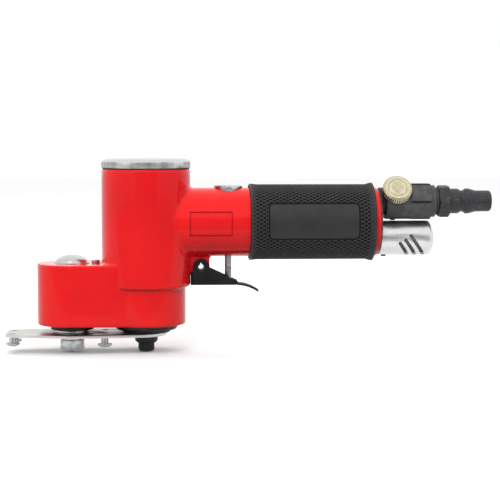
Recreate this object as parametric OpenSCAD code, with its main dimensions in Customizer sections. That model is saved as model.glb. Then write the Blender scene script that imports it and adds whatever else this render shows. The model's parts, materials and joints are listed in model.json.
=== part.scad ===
// Air-powered orbital hand tool. An air motor in the upright barrel turns a crank,
// an idler in the front head turns with it, and the plate under both moves round a
// small circle without turning. All sizes are in millimetres. X runs from the front
// head to the air plug, Z runs up the motor axis, and Z = 0 is the drive nut's tip.

/* [Overall] */
// Motor axis to the front end of the pad plate
plate_reach = 79; // [78:0.5:84]
// Motor axis to the tip of the air plug
plug_reach = 197; // [195:0.5:200]
// Radius of the circle that the pad plate moves round
orbit_r = 1.25; // [0.75:0.05:1.25]

/* [Motor barrel] */
// Outside radius of the upper barrel
barrel_r = 25.1; // [24.8:0.1:26]
// Outside radius of the boss below the barrel's ledge
boss_r = 22.5; // [22.2:0.1:23.5]
// Height of the casting's underside
body_z = 15.9; // [15.7:0.1:16]
// Height of the barrel's ledge
ledge_z = 37.3; // [35:0.1:37.6]
// Height of the barrel's top
barrel_top = 103.8; // [103.6:0.1:104]
// Radius of the motor cap
cap_r = 25.2; // [24.8:0.1:26]
// Height of the motor cap's top
cap_top = 109.3; // [108:0.1:111]

/* [Front head] */
// Motor axis to the head's axis
head_reach = 42; // [41.5:0.1:43]
// Outside radius of the head
head_r = 19.5; // [18:0.1:20.5]
// Height of the head's top
head_top = 50.5; // [50:0.1:51.5]
// Radius of the dome cap's rim
dome_r = 9.85; // [9.5:0.05:11]
// Height of the dome cap's crown
dome_top = 55.1; // [53.5:0.1:56]

/* [Handle] */
// Height of the handle's axis
handle_z = 73.5; // [73.4:0.1:73.6]
// Outside radius of the handle tube
handle_r = 19.5; // [19.4:0.1:20]
// Motor axis to the handle's rear end
handle_end = 131.6; // [131:0.1:132]
// Thickness of the rubber grip
grip_t = 1.85; // [1.5:0.05:2.5]
// Motor axis to the grip's front end
grip_x = 58.3; // [57:0.1:65]
// Length of the grip
grip_len = 70.5; // [60:0.5:71]

/* [Throttle] */
// Motor axis to the valve's axis
valve_x = 46.6; // [46.5:0.1:48]
// Motor axis to the lever's pivot
pivot_x = 31.1; // [31:0.1:31.5]
// Height of the lever's pivot
pivot_z = 48.1; // [48:0.1:48.3]
// Outside width of the lever
lever_w = 10.6; // [10:0.1:14]
// Thickness of the lever's sheet
lever_t = 1; // [0.8:0.1:1.2]
// Radius of the valve stem
stem_r = 1.9; // [1.6:0.05:2]

/* [Air inlet] */
// Height of the air inlet's axis
inlet_z = 85.1; // [85:0.1:85.2]
// Size across the flats of the regulator body
regulator_af = 20; // [19.5:0.1:20.2]
// Radius of the regulator knob
knob_r = 8.2; // [7:0.1:8.2]
// Size across the flats of the air plug
plug_af = 17; // [16:0.5:18]
// Radius of the air plug's nose
nose_r = 6; // [5.8:0.05:6.2]

/* [Exhaust] */
// Height of the muffler's axis
muffler_z = 64.2; // [64.1:0.1:64.3]
// Outside radius of the muffler tube
muffler_r = 9.8; // [9.5:0.1:9.8]
// Motor axis to the muffler's rear end
muffler_end = 163.2; // [158:0.1:168]

/* [Pad plate] */
// Height of the plate's underside
plate_z = 9.65; // [9.6:0.05:9.7]
// Thickness of the plate
plate_t = 1.5; // [1.2:0.05:1.5]
// Half the plate's width at the head's axis
plate_half = 18.9; // [18:0.1:20]
// Half the plate's width at its front end
plate_tip_half = 11.3; // [10.5:0.1:12]
// Spacing of the pad screws along the plate
screw_dx = 51.6; // [51:0.1:52]
// Spacing of the pad screws across the plate
screw_dy = 15; // [14:0.1:16]

/* [Air motor] */
// Radius of the rotor
rotor_r = 14.9; // [14.5:0.1:14.9]
// Radius of the liner's bore
liner_r = 16.5; // [16.5:0.1:16.6]
// Offset of the liner's bore from the motor axis
liner_off = 1.5; // [1.4:0.05:1.5]
// Number of vanes
vane_count = 5; // [4:1:6]

/* [Hidden] */
$fn = 96;
eps = 0.01;
motor_x = (plate_reach - plug_reach) / 2;
head_x = -head_reach;
fit = 0.02;                 // radial gap of a pressed or seated fit
run = 0.05;                 // radial gap of a running fit

// Motor stack, from the bottom up
web_z = 38;
seat_z = 42;
rotor_z = 52;
rotor_top = 90;
stack_top = 99;
motor_bore_r = 20.5;
chamber_r = 19.5;
spigot_r = 21.5;
low_bearing = [6, 14, 8];   // bore radius, outside radius, width
top_bearing = [4, 11, 7];
low_bearing_z = seat_z + low_bearing[2] / 2;
top_bearing_z = stack_top - top_bearing[2] / 2;
seal_angle = -35;           // where the rotor all but touches the liner
feed_z = 75;

// Crank and main hub
cheek_z = 27;
cheek_top = 36;
cheek_r = 9;
weight_r = 17.8;
pin_bearing = [5, 13, 8];
pin_bearing_z = 17;
hub_disc_r = 17.7;
hub_disc_z = 12.8;
hub_r = 16;
nut_collar_z = 4.7;
nut_collar_r = 6.5;
nut_tip_r = 4.6;
nut_sleeve_r = 6.2;
pin_thread_r = 3.5;

// Front head
head_bearing = [4, 11, 7];
head_bearing_zs = [27, 40];
idler_cheek_z = 19.5;
idler_cheek_top = 25;
front_bearing = [4, 8, 5];
front_bearing_z = 13.4;
bolt_z = 1.3;
bolt_head_h = 5.5;
bolt_r = 4;
bush_flange_z = 8.8;
seal_z = 13;

// Throttle
valve_bore_r = 7;
valve_seat_z = 80;
bushing_z = 70;
spot_z = 91.1;
valve_cap_top = 94.2;
spring_z = 82.4;
spring_top = 90;
lever_drop = 10.2;           // pivot to the lever's underside
lever_web_z = pivot_z - lever_drop;
ear_r = 4.8;
pin_r = 2.5;
stem_oring_z = 57;

// Inlet and exhaust
rear_plate_t = 0.9;
rear_x = handle_end + rear_plate_t;
regulator_x = 136.2;
regulator_hex_x = 149.5;
regulator_end = 161.7;
regulator_neck = 2.7;        // collar beyond the hex
regulator_bore_r = 4.5;
knob_x = 141.7;
knob_gap = 9.5;
knob_t = 4.9;
regulator_oring_z = 6.2;
knob_tilt = 35;             // knob axis above the level
knob_seat = knob_gap - 0.3; // milled flat under the knob
plug_x = 166.3;
gallery_y = 10;

grip_flare = 0.85;
plate_rear_r = 15.5;        // rounding of the plate's rear end
plate_rear_x = -4.1;
screw_x = head_x - 7.2;     // middle of the pad screws' rectangle

// ---------- shared shapes ----------

// Moves a shape from the motor axis to the part's own origin
module place() translate([motor_x, 0, 0]) children();

// Moves a shape to the crank pin's axis, and to the idler pin's axis
module at_pin() place() translate([0, orbit_r, 0]) children();
module at_idler_pin() place() translate([head_x, orbit_r, 0]) children();
module at_head() place() translate([head_x, 0, 0]) children();
module at_valve() place() translate([valve_x, 0, 0]) children();

// Turns a shape that stands along Z to lie along X, at a height
module along_x(x, z) place() translate([x, 0, z]) rotate([0, 90, 0]) children();

module rod(r, z0, z1) translate([0, 0, z0]) cylinder(r = r, h = z1 - z0);

module ring(r_out, r_in, z0, z1) {
    difference() {
        rod(r_out, z0, z1);
        rod(r_in, z0 - 1, z1 + 1);
    }
}

module hex_rod(af, z0, z1) {
    translate([0, 0, z0]) cylinder(r = af / sqrt(3), h = z1 - z0, $fn = 6);
}

// Ball bearing sizes: b = [bore radius, outside radius, width]
function pitch_r(b) = (b[0] + b[1]) / 2;
function ball_r(b) = (b[1] - b[0]) * 0.24;
function ball_count(b) = floor(2 * PI * pitch_r(b) / (2.35 * ball_r(b)));

module race(b, inner) {
    shoulder = ball_r(b) * 0.5;
    r_low = inner ? b[0] + fit : pitch_r(b) + shoulder;
    r_high = inner ? pitch_r(b) - shoulder : b[1] - fit;
    rotate_extrude() difference() {
        translate([r_low, -b[2] / 2]) square([r_high - r_low, b[2]]);
        translate([pitch_r(b), 0]) circle(r = ball_r(b) + run);
    }
}

module balls(b) {
    for (i = [0:ball_count(b) - 1])
        rotate(i * 360 / ball_count(b)) translate([pitch_r(b), 0, 0])
            sphere(r = ball_r(b));
}

// An O-ring that fills a groove between two radii
module oring(r_in, r_out, z) {
    translate([0, 0, z]) rotate_extrude()
        translate([(r_in + r_out) / 2, 0]) circle(r = (r_out - r_in) / 2, $fn = 32);
}

// A pan-head screw that points up: its head lies just below height z
module pan_screw(head_r, head_h, shank_r, z, length) {
    rod(shank_r, z - eps, z + length);
    difference() {
        intersection() {
            rod(head_r, z - head_h, z);
            translate([0, 0, z - head_h + head_r * 1.6])
                sphere(r = head_r * 1.6);
        }
        for (turn = [0, 90]) rotate(turn)
            translate([-head_r * 0.55, -0.4, z - head_h - 1])
                cube([head_r * 1.1, 0.8, 1 + head_h * 0.45]);
    }
}

// A coil of round wire, swept ring by ring
module coil(mean_r, wire_r, z0, z1, turns) {
    steps = round(turns * 20);
    sides = 8;
    rise = z1 - z0 - 2 * wire_r;
    points = [
        for (i = [0:steps], k = [0:sides - 1])
            let (a = 360 * turns * i / steps, w = 360 * k / sides)
            [(mean_r + wire_r * cos(w)) * cos(a), (mean_r + wire_r * cos(w)) * sin(a),
             z0 + wire_r + rise * i / steps + wire_r * sin(w)]
    ];
    sides_faces = [
        for (i = [0:steps - 1], k = [0:sides - 1])
            let (n = (k + 1) % sides, a = i * sides, b = a + sides)
            [a + k, a + n, b + n, b + k]
    ];
    ends = [
        [for (k = [sides - 1:-1:0]) k],
        [for (k = [0:sides - 1]) steps * sides + k],
    ];
    polyhedron(points, concat(sides_faces, ends), convexity = 8);
}

// ---------- casting ----------

// Round head, straight flanks as wide as the head, and the wider round boss
module body_outline() {
    translate([head_x, 0]) circle(r = head_r);
    translate([head_x, -head_r]) square([head_reach, 2 * head_r]);
    circle(r = boss_r);
}

module housing_outside() {
    place() {
        translate([0, 0, body_z]) linear_extrude(head_top - body_z)
            body_outline();
        rod(barrel_r, ledge_z, barrel_top);
        lever_lug();
    }
    along_x(0, handle_z) cylinder(r = handle_r, h = handle_end);
}

// The lug that the lever swings on; it runs back into the barrel
module lever_lug() {
    lug_w = lever_w - 2 * lever_t - 0.6;
    lug_r = ear_r - 0.2;
    translate([pivot_x, lug_w / 2, pivot_z]) rotate([90, 0, 0]) linear_extrude(lug_w) {
        circle(r = lug_r);
        translate([-lug_r, 0]) square([2 * lug_r, handle_z - handle_r + 2 - pivot_z]);
        translate([barrel_r - 1 - pivot_x, -2.9]) square([pivot_x - barrel_r + 1, 8]);
    }
}

module motor_hollow() {
    place() {
        rod(motor_bore_r, seat_z, barrel_top + 1);
        rod(spigot_r + fit, stack_top, barrel_top + 1);
        rod(low_bearing[1] - 1.5, web_z - 1, seat_z + 1);
        rod(chamber_r, body_z - 1, web_z);
        translate([0, 16, rotor_z - 3]) cylinder(r = 1, h = 3);
    }
}

module head_hollow() {
    at_head() {
        rod(head_bearing[1] + fit, body_z - 1, head_bearing_zs[1] + head_bearing[2]);
        rod(dome_r - 1.4, head_bearing_zs[1], head_top + 1);
        rod(head_bearing[1] + 0.65, head_bearing_zs[0] - 1.35, head_bearing_zs[0] - 0.05);
        translate([13.5, 0, head_top - 6]) cylinder(r = 1.5, h = 7);
    }
}

module valve_hollow() {
    at_valve() {
        rod(valve_bore_r, bushing_z, spot_z);
        rod(8 + run, spot_z, spot_z + 5);
        rod(stem_r + 0.1, handle_z - handle_r - 1, bushing_z + 1);
        rod(2.9, stem_oring_z - 0.7, stem_oring_z + 0.7);
    }
}

module air_galleries() {
    along_x(valve_x, inlet_z) cylinder(r = 4.5, h = handle_end - valve_x);
    along_x(handle_end - 14, inlet_z) cylinder(r = 6.6, h = 15);
    along_x(motor_bore_r - 2, feed_z) cylinder(r = 4, h = valve_x - motor_bore_r + 2);
    for (side = [-1, 1])
        translate([0, side * gallery_y, 0])
            along_x(motor_bore_r - 5, muffler_z) cylinder(r = 4, h = 96);
    along_x(106, muffler_z) cylinder(r = muffler_r - 1.5, h = handle_end - 105);
}

// Shallow rounded panel sunk into each side of the handle's root
module side_panel() {
    panel = [23.6, 13.5];
    corner = 0.9;
    place() for (side = [-1, 1]) difference() {
        translate([24.5, side * handle_r, handle_z - panel.y / 2]) rotate([90, 0, 0])
            linear_extrude(14, center = true) {
                translate([corner, 0]) square([panel.x - 2 * corner, panel.y]);
                translate([0, corner]) square([panel.x, panel.y - 2 * corner]);
                for (x = [corner, panel.x - corner], y = [corner, panel.y - corner])
                    translate([x, y]) circle(r = corner);
            }
        translate([0, 0, handle_z]) rotate([0, 90, 0]) cylinder(r = handle_r - 0.5, h = 60);
    }
}

module housing() {
    color("red") difference() {
        housing_outside();
        motor_hollow();
        head_hollow();
        valve_hollow();
        air_galleries();
        side_panel();
        lever_pin_hole(pin_r + fit);
    }
}

module lever_pin_hole(r) {
    place() translate([pivot_x, lever_w, pivot_z]) rotate([90, 0, 0])
        cylinder(r = r, h = 2 * lever_w);
}

// ---------- barrel's top and the air motor ----------

module motor_cap() {
    disc_z = barrel_top + 0.7;
    color("silver") place() difference() {
        union() {
            rod(cap_r, disc_z, cap_top - 1.3);
            translate([0, 0, cap_top - 1.3]) cylinder(r1 = cap_r, r2 = cap_r - 2.9, h = 1.3);
            rod(spigot_r, stack_top, disc_z + eps);
        }
        rod(6, stack_top - 1, stack_top + 2.5);
        for (side = [-1, 1]) translate([side * 15, 0, 0]) rod(2, cap_top - 3, cap_top + 1);
    }
}

module cap_gasket() {
    color("dimgray") place() ring(cap_r - 0.6, spigot_r + 0.1, barrel_top, barrel_top + 0.7);
}

module motor_liner() {
    color("lightgray") place() difference() {
        ring(motor_bore_r - run, 1, rotor_z, rotor_top);
        rotate(seal_angle) translate([-liner_off, 0, 0])
            rod(liner_r, rotor_z - 1, rotor_top + 1);
        ring(motor_bore_r + 1, motor_bore_r - 1.2, muffler_z - 4, muffler_z + 4);
        for (a = [150, 180, 210]) rotate(a) translate([10, 0, muffler_z])
            rotate([0, 90, 0]) cylinder(r = 2.5, h = 12);
        translate([10, 0, feed_z]) rotate([0, 90, 0]) cylinder(r = 3.5, h = 12);
        translate([0, 19, rotor_z - 1]) cylinder(r = 1, h = 6);
    }
}

module upper_end_plate() {
    color("silver") place() difference() {
        rod(motor_bore_r - run, rotor_top, stack_top);
        rod(top_bearing[1], stack_top - top_bearing[2], stack_top + 1);
        rod(low_bearing[0] + 0.3, rotor_top - 1, stack_top);
    }
}

module lower_end_plate() {
    color("silver") place() difference() {
        rod(motor_bore_r - run, seat_z, rotor_z);
        rod(low_bearing[1], seat_z - 1, seat_z + low_bearing[2]);
        rod(low_bearing[0] + 0.4, seat_z, rotor_z + 1);
        translate([0, 19, rotor_z - 4]) cylinder(r = 1, h = 5);
    }
}

module liner_dowel() {
    color("gray") place() translate([0, 19, 0]) rod(1 - fit, rotor_z - 4, rotor_z + 5);
}

module motor_bearing_outer_races() {
    color("silver") place() {
        translate([0, 0, low_bearing_z]) race(low_bearing, false);
        translate([0, 0, top_bearing_z]) race(top_bearing, false);
    }
}

module motor_bearing_inner_races() {
    color("silver") place() {
        translate([0, 0, low_bearing_z]) race(low_bearing, true);
        translate([0, 0, top_bearing_z]) race(top_bearing, true);
    }
}

module motor_bearing_balls() {
    color("lightgray") place() {
        translate([0, 0, low_bearing_z]) balls(low_bearing);
        translate([0, 0, top_bearing_z]) balls(top_bearing);
    }
}

module vane_slots(width, r0, r1, z0, z1) {
    for (i = [0:vane_count - 1]) rotate(i * 360 / vane_count + 18)
        translate([r0, -width / 2, z0]) cube([r1 - r0, width, z1 - z0]);
}

module rotor() {
    color("gray") place() difference() {
        ring(rotor_r, low_bearing[0] + fit, rotor_z + 0.2, rotor_top - 0.2);
        vane_slots(2, 7.5, rotor_r + 2, rotor_z - 1, rotor_top + 1);
    }
}

module rotor_vanes() {
    color("saddlebrown") place()
        vane_slots(1.9, 7.6, rotor_r - 0.15, rotor_z + 0.4, rotor_top - 0.4);
}

module crank_shaft() {
    pin_z0 = pin_bearing_z + pin_bearing[2];
    color("darkgray") difference() {
        union() {
            place() {
                rod(low_bearing[0], cheek_top - eps, rotor_top + 1.5);
                rod(top_bearing[0], rotor_top, stack_top + 0.8);
                rod(7.5, cheek_top - eps, seat_z);
                rod(cheek_r, cheek_z, cheek_top);
            }
            at_pin() {
                rod(6.3, pin_z0, cheek_z + eps);
                rod(pin_bearing[0], pin_bearing_z, pin_z0 + eps);
                rod(pin_thread_r, 3, pin_bearing_z + eps);
            }
        }
        counterweight_holes(1.5, 4.5, weight_r);
    }
}

// Radial holes for the two screws that hold the counterweight
module counterweight_holes(r, r0, r1) {
    place() for (a = [-60, -120]) rotate(a)
        translate([r0, 0, (cheek_z + cheek_top) / 2]) rotate([0, 90, 0])
            cylinder(r = r, h = r1 - r0);
}

module counterweight() {
    color("goldenrod") difference() {
        place() difference() {
            ring(weight_r, cheek_r + fit, cheek_z + 0.5, cheek_top - 0.5);
            translate([-20, -1, cheek_z]) cube([40, 22, 10]);
        }
        counterweight_holes(1.5 + fit, 4.5, weight_r + 1);
        counterweight_holes(2.8, weight_r - 2.8, weight_r + 1);
    }
}

module counterweight_screws() {
    color("dimgray") {
        counterweight_holes(1.5 - fit, 5, weight_r - 2.4);
        counterweight_holes(2.7, weight_r - 2.7, weight_r - 0.6);
    }
}

module drive_nut() {
    round_h = 1.2;
    bevel = 1.3;
    collar_top = plate_z - 0.35;
    color("black") at_pin() difference() {
        rotate_extrude() polygon([
            [0, 0], [nut_tip_r - round_h, 0], [nut_tip_r - 0.35, 0.4], [nut_tip_r, round_h],
            [nut_tip_r, nut_collar_z], [nut_collar_r - bevel, nut_collar_z],
            [nut_collar_r, nut_collar_z + bevel], [nut_collar_r, collar_top],
            [nut_sleeve_r, collar_top], [nut_sleeve_r, pin_bearing_z], [0, pin_bearing_z],
        ]);
        rod(pin_thread_r + fit, 2, pin_bearing_z + 1);
    }
}

// ---------- pad plate and its bearings ----------

module main_hub() {
    hub_top = pin_bearing_z + pin_bearing[2] + 0.4;
    bevel = 0.9;
    color("black") at_pin() difference() {
        union() {
            rod(8.5 - fit, plate_z, hub_disc_z);
            rod(13.5, plate_z + plate_t, hub_disc_z + eps);
            translate([0, 0, hub_disc_z])
                cylinder(r1 = hub_disc_r - bevel, r2 = hub_disc_r, h = bevel);
            rod(hub_disc_r, hub_disc_z + bevel - eps, body_z + 1.1);
            rod(hub_r, body_z, hub_top);
        }
        rod(nut_sleeve_r + 0.6, plate_z - 1, pin_bearing_z + 1);
        rod(pin_bearing[1], pin_bearing_z, hub_top + 1);
    }
}

module front_hub() {
    hub_top = front_bearing_z + front_bearing[2] + 0.3;
    color("silver") at_idler_pin() difference() {
        union() {
            rod(7 - fit, plate_z, plate_z + plate_t + eps);
            rod(10, plate_z + plate_t, seal_z - 0.4);
            rod(9.2, seal_z - 0.5, hub_top);
        }
        rod(5.4, plate_z - 1, hub_top);
        rod(front_bearing[1], front_bearing_z, hub_top + 1);
    }
}

module plate_bearing_outer_races() {
    color("silver") {
        at_pin() translate([0, 0, pin_bearing_z + pin_bearing[2] / 2])
            race(pin_bearing, false);
        at_idler_pin() translate([0, 0, front_bearing_z + front_bearing[2] / 2])
            race(front_bearing, false);
    }
}

module plate_bearing_balls() {
    color("lightgray") {
        at_pin() translate([0, 0, pin_bearing_z + pin_bearing[2] / 2]) balls(pin_bearing);
        at_idler_pin() translate([0, 0, front_bearing_z + front_bearing[2] / 2])
            balls(front_bearing);
    }
}

module main_hub_inner_race() {
    color("silver") at_pin() translate([0, 0, pin_bearing_z + pin_bearing[2] / 2])
        race(pin_bearing, true);
}

module front_hub_inner_race() {
    color("silver") at_idler_pin() translate([0, 0, front_bearing_z + front_bearing[2] / 2])
        race(front_bearing, true);
}

// Wide over the head's axis, rounded behind and cut square in front
module plate_outline() {
    corner = 1.5;
    hull() {
        translate([head_x, 0]) circle(r = plate_half);
        translate([plate_rear_x, 0]) circle(r = plate_rear_r);
        for (side = [1, -1])
            translate([corner - plate_reach, side * (plate_tip_half - corner)])
                circle(r = corner, $fn = 32);
    }
}

module pad_plate() {
    color("gainsboro") difference() {
        place() translate([0, 0, plate_z]) linear_extrude(plate_t) plate_outline();
        at_pin() rod(8.5, plate_z - 1, plate_z + plate_t + 1);
        at_idler_pin() rod(7, plate_z - 1, plate_z + plate_t + 1);
        place() for (x = [-1, 1], y = [-1, 1])
            translate([screw_x + x * screw_dx / 2, y * screw_dy / 2, 0])
                rod(2 + run, plate_z - 1, plate_z + plate_t + 1);
    }
}

// The front pair and one of the rear pair hang loose, each by its own drop
module pad_screws() {
    drops = [[3.4, 3.4], [4.2, 0]];
    color("silver") place() for (i = [0, 1], k = [0, 1])
        translate([screw_x + (2 * i - 1) * screw_dx / 2, (2 * k - 1) * screw_dy / 2, 0])
            pan_screw(4, 2.2, 2, plate_z - drops[i][k], drops[i][k] + 0.8);
}

// ---------- front head ----------

module idler_crank() {
    color("darkgray") difference() {
        union() {
            at_head() {
                rod(head_bearing[0], idler_cheek_top - eps, head_bearing_zs[1] + head_bearing[2] + 0.5);
                rod(5.2, idler_cheek_top - eps, head_bearing_zs[0]);
                rod(5.2, head_bearing_zs[0] + head_bearing[2], head_bearing_zs[1]);
                rod(9, idler_cheek_z, idler_cheek_top);
            }
            at_idler_pin() rod(5.2, front_bearing_z + front_bearing[2], idler_cheek_z + eps);
        }
        at_idler_pin() rod(bolt_r, front_bearing_z, idler_cheek_top - 0.5);
    }
}

module front_bolt() {
    chamfer = 0.9;
    color("lightgray") at_idler_pin() {
        intersection() {
            rotate(28) hex_rod(13, bolt_z, bolt_z + bolt_head_h);
            translate([0, 0, bolt_z])
                cylinder(r1 = 6.4, r2 = 6.4 + bolt_head_h * 1.7, h = bolt_head_h);
        }
        rod(bolt_r - fit, bolt_z + bolt_head_h - eps, idler_cheek_top - chamfer);
    }
}

module bolt_spring_washer() {
    z0 = bolt_z + bolt_head_h;
    color("silver") at_idler_pin() difference() {
        ring(6.2, bolt_r + 0.1, z0, bush_flange_z);
        translate([0, 0, z0 - 1]) rotate([25, 0, 0]) cube([10, 0.8, 8]);
    }
}

module bolt_bush() {
    color("silver") at_idler_pin() difference() {
        union() {
            rod(6.4, bush_flange_z, plate_z - 0.3);
            rod(5.1, bush_flange_z, front_bearing_z);
        }
        rod(bolt_r + fit, bush_flange_z - 1, front_bearing_z + 1);
    }
}

module at_head_bearings() {
    at_head() for (z = head_bearing_zs) translate([0, 0, z + head_bearing[2] / 2]) children();
}

module head_bearing_outer_races() {
    color("silver") at_head_bearings() race(head_bearing, false);
}

module head_bearing_inner_races() {
    color("silver") at_head_bearings() race(head_bearing, true);
}

module head_bearing_balls() {
    color("lightgray") at_head_bearings() balls(head_bearing);
}

module head_circlip() {
    z1 = head_bearing_zs[0] - 0.1;
    color("dimgray") at_head() difference() {
        ring(head_bearing[1] + 0.6, 9.4, z1 - 1.2, z1);
        translate([0, -3, z1 - 2]) cube([14, 6, 3]);
    }
}

module head_dust_seal() {
    color("black") at_head() ring(12.2, 10.8, seal_z, body_z);
}

module head_dome_cap() {
    rim = 0.6;
    crown = dome_top - head_top - rim;
    base = dome_r - 0.6;
    sphere_r = (base * base + crown * crown) / (2 * crown);
    color("silver") at_head() {
        rod(dome_r, head_top, head_top + rim);
        rod(dome_r - 1.4 - fit, head_bearing_zs[1] + head_bearing[2] + 1.2, head_top + eps);
        intersection() {
            translate([0, 0, dome_top - sphere_r]) sphere(r = sphere_r);
            rod(base, head_top + rim - eps, dome_top + 1);
        }
    }
}

module head_lock_screw() {
    color("dimgray") at_head() translate([13.5, 0, 0]) difference() {
        union() {
            rod(2.3, head_top, head_top + 1.7);
            rod(1.5 - fit, head_top - 5, head_top + eps);
        }
        hex_rod(2, head_top + 0.7, head_top + 3);
    }
}

// ---------- handle, valve and lever ----------

module grip_sleeve() {
    r_in = handle_r + fit;
    r_out = handle_r + grip_t;
    lip = 1.2;
    flare_len = 3.2;
    front_flare = grip_flare / 2;
    color("dimgray") along_x(grip_x, handle_z) rotate_extrude() polygon([
        [r_in, 0], [r_out + front_flare - 0.6, 0], [r_out + front_flare, 0.6],
        [r_out + front_flare, lip], [r_out, flare_len],
        [r_out, grip_len - flare_len - lip], [r_out + grip_flare, grip_len - 2 * lip],
        [r_out + grip_flare, grip_len - lip], [r_out + grip_flare - 1.6, grip_len],
        [r_in, grip_len],
    ]);
}

module valve_cap() {
    body_r = valve_bore_r - fit;
    groove_z = spot_z - 1.9;
    color("silver") at_valve() difference() {
        union() {
            rod(8, spot_z, valve_cap_top);
            rod(body_r, spot_z - 3.1, spot_z + eps);
        }
        ring(valve_bore_r + 1, valve_bore_r - 1.2, groove_z, groove_z + 1.3);
        rod(3.4, spot_z - 4, spring_top);
        hex_rod(5, spring_top + 1.2, valve_cap_top + 1);
    }
}

module valve_cap_oring() {
    color("black") at_valve() oring(valve_bore_r - 1.18, valve_bore_r - fit, spot_z - 1.25);
}

module valve_bushing() {
    color("goldenrod") at_valve() difference() {
        rod(valve_bore_r - fit, bushing_z, valve_seat_z);
        rod(4, bushing_z + 2, valve_seat_z + 1);
        rod(stem_r + 0.1, bushing_z - 1, bushing_z + 3);
        translate([-9, 0, feed_z]) rotate([0, 90, 0]) cylinder(r = 2.8, h = 8);
    }
}

module valve_stem() {
    joint_z = 47.6;
    color("silver") at_valve() difference() {
        union() {
            rod(stem_r - 0.6, lever_web_z + lever_t + 0.05, lever_web_z + lever_t + 0.4);
            rod(stem_r, lever_web_z + lever_t + 0.35, valve_seat_z);
            rod(1.2, valve_seat_z - eps, valve_seat_z + 1.8);
        }
        ring(stem_r + 1, stem_r - 0.2, joint_z, joint_z + 0.3);
    }
}

module valve_head() {
    color("black") at_valve() difference() {
        union() {
            rod(5.2, valve_seat_z + 0.04, spring_z);
            rod(2.1, spring_z - eps, spring_z + 1);
        }
        rod(1.2 + fit, valve_seat_z - 1, valve_seat_z + 1.85);
    }
}

module valve_spring() {
    color("lightgray") at_valve() coil(2.8, 0.4, spring_z, spring_top, 5);
}

module stem_oring() {
    color("black") at_valve() oring(stem_r + 0.03, 2.88, stem_oring_z);
}

// Side of the lever, seen from the front, with the pivot at the origin
module lever_side() {
    circle(r = ear_r);
    polygon([
        [-ear_r, 0], [-ear_r, -lever_drop], [19.8, -lever_drop], [21.2, -8.3],
        [ear_r, -0.7], [ear_r, 0],
    ]);
}

// Finger tongue: sheet that leaves the web level and curves down
module lever_tongue() {
    bend_r = 22.3;
    sweep = 35;
    translate([19.7, -lever_drop + lever_t / 2 - bend_r]) rotate(90 - sweep)
        difference() {
            intersection() {
                circle(r = bend_r + lever_t / 2);
                polygon([
                    [0, 0], [40, 0], [40, 30],
                    [40 * cos(sweep), 40 * sin(sweep)],
                ]);
            }
            circle(r = bend_r - lever_t / 2);
        }
}

module throttle_lever() {
    color("black") difference() {
        place() translate([pivot_x, lever_w / 2, pivot_z]) rotate([90, 0, 0]) {
            for (y = [0, lever_w - lever_t]) translate([0, 0, y])
                linear_extrude(lever_t) lever_side();
            linear_extrude(lever_w) {
                translate([-ear_r, -lever_drop]) square([19.8 + ear_r, lever_t]);
                lever_tongue();
            }
            // The web's front end is turned up between the ears and the barrel
            translate([-ear_r - lever_t, -lever_drop, lever_t]) cube([
                lever_t + eps, 6.8, lever_w - 2 * lever_t,
            ]);
        }
        lever_pin_hole(pin_r + run);
    }
}

module lever_pin() {
    length = lever_w + 0.6;
    color("black") place() translate([pivot_x, length / 2, pivot_z]) rotate([90, 0, 0])
        difference() {
            cylinder(r = pin_r, h = length);
            translate([0, 0, -1]) cylinder(r = pin_r - 0.9, h = length + 2);
            translate([-0.35, 0, -1]) cube([0.7, pin_r + 1, length + 2]);
        }
}

// ---------- rear end: inlet, regulator, plug and muffler ----------

module rear_plate() {
    color("wheat") difference() {
        along_x(handle_end, handle_z) cylinder(r = handle_r - 1.1, h = rear_plate_t);
        along_x(handle_end - 1, inlet_z) cylinder(r = 6.6, h = rear_plate_t + 2);
        along_x(handle_end - 1, muffler_z)
            cylinder(r = muffler_r - 1.5, h = rear_plate_t + 2);
    }
}

module inlet_bushing() {
    color("dimgray") along_x(0, inlet_z) difference() {
        union() {
            rod(6.6 - fit, handle_end - 13, rear_x + eps);
            rod(7.8, rear_x, regulator_x);
        }
        rod(4.5, handle_end - 14, regulator_x + 1);
    }
}

module inlet_screen() {
    color("silver") along_x(0, inlet_z) difference() {
        rod(4.5 - fit, handle_end - 12, handle_end - 11);
        for (i = [0:6]) rotate(i * 60) translate([i == 6 ? 0 : 2.6, 0, 0])
            rod(0.7, handle_end - 13, handle_end - 10);
    }
}

// Turns a shape that stands along Z onto the regulator knob's axis
module on_knob_axis() {
    place() translate([knob_x, 0, inlet_z]) rotate([90 - knob_tilt, 0, 0]) children();
}

module regulator_body() {
    af = regulator_af;
    slope = 20;
    color("dimgray") difference() {
        along_x(0, inlet_z) {
            intersection() {
                rotate(90) hex_rod(af, regulator_x, regulator_hex_x + eps);
                rod(af / 2 + 0.6, regulator_x, regulator_hex_x + eps);
            }
            // The two wide cones take the corners off the hex's ends
            intersection() {
                rotate(90) hex_rod(af, regulator_hex_x, regulator_end);
                translate([0, 0, regulator_hex_x])
                    cylinder(r1 = af / 2 + 0.5, r2 = af / 2 + 0.5 + slope, h = slope);
                translate([0, 0, regulator_end - slope])
                    cylinder(r1 = af / 2 + 0.5 + slope, r2 = af / 2 + 0.5, h = slope);
            }
            rod(9.1, regulator_end - eps, regulator_end + regulator_neck);
        }
        along_x(0, inlet_z) rod(regulator_bore_r, regulator_x - 1, regulator_end + 4);
        on_knob_axis() rod(3 + run, -6, 20);
        on_knob_axis() rod(knob_r + 0.6, knob_seat, 20);
        along_x(0, inlet_z) translate([9, 0, knob_x - 1]) rotate([0, 90, 0])
            cylinder(r = 1.2, h = 4);
    }
}

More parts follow.
